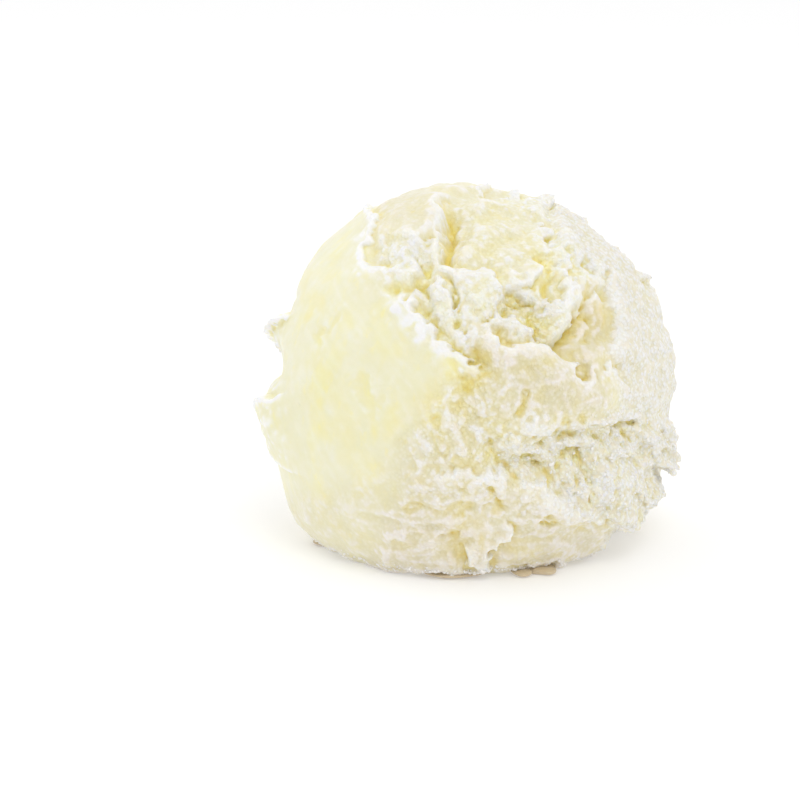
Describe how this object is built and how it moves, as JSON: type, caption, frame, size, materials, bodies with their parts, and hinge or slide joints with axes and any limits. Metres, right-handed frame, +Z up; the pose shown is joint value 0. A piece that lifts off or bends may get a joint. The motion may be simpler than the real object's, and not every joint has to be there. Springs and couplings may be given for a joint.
{
  "type": "scoop of lemon gelato",
  "caption": "Ball-shaped scoop of pale lemon gelato with torn smooth sheets, a craggy hollow and a flat foot to stand on.",
  "frame": {"origin": "bottom centre of the box round the scoop, on the surface it stands on", "axes": "+Z up, -Y towards the side the picture shows, +X to the viewer's right"},
  "size_m": [0.0656, 0.0612, 0.0541],
  "materials": {
    "gelato": "moist, soft satin, smooth on the sheets and crumbly where torn"
  },
  "bodies": {
    "root": {"gelato_scoop": "gelato"}
  },
  "joints": []
}
